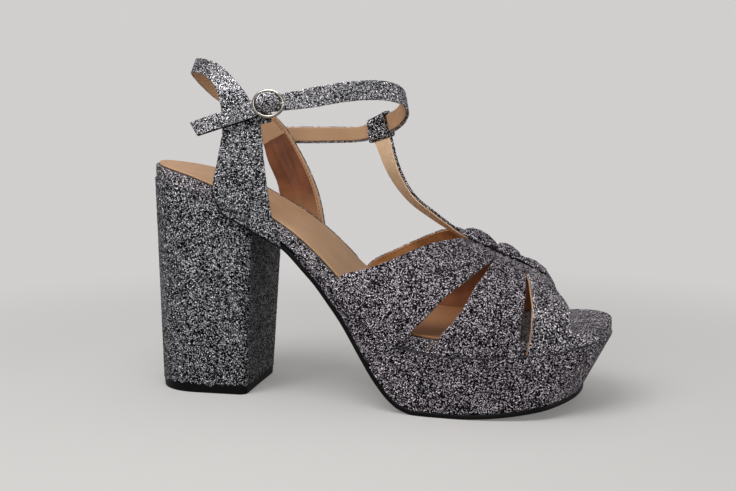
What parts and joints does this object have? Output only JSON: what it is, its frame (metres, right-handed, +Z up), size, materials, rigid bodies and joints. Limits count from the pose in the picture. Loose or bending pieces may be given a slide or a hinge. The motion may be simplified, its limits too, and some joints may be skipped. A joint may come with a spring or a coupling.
{
  "type": "heeled sandal",
  "caption": "Right-foot platform sandal with a high block heel, a draped open-toe vamp, a T-strap and a buckled ankle strap.",
  "frame": {"origin": "on the floor, at the middle of the top lift's underside", "axes": "+X from the heel to the toe, +Y towards the inner side of the foot, +Z up"},
  "size_m": [0.2294, 0.0852, 0.1673],
  "materials": {
    "glitter": "coarse glitter fabric in dark grey and silver",
    "lining": "smooth tan lining leather",
    "rubber": "smooth black",
    "metal": "polished pale champagne"
  },
  "bodies": {
    "root": {"top_lift": "rubber", "heel": "glitter", "outsole": "rubber", "platform": "glitter", "footbed": "glitter", "sock": "lining", "vamp_with_t_strap": "glitter", "quarters_with_back_strap": "glitter", "ankle_strap": "glitter", "buckle": "metal", "buckle_prong": "metal"}
  },
  "joints": []
}
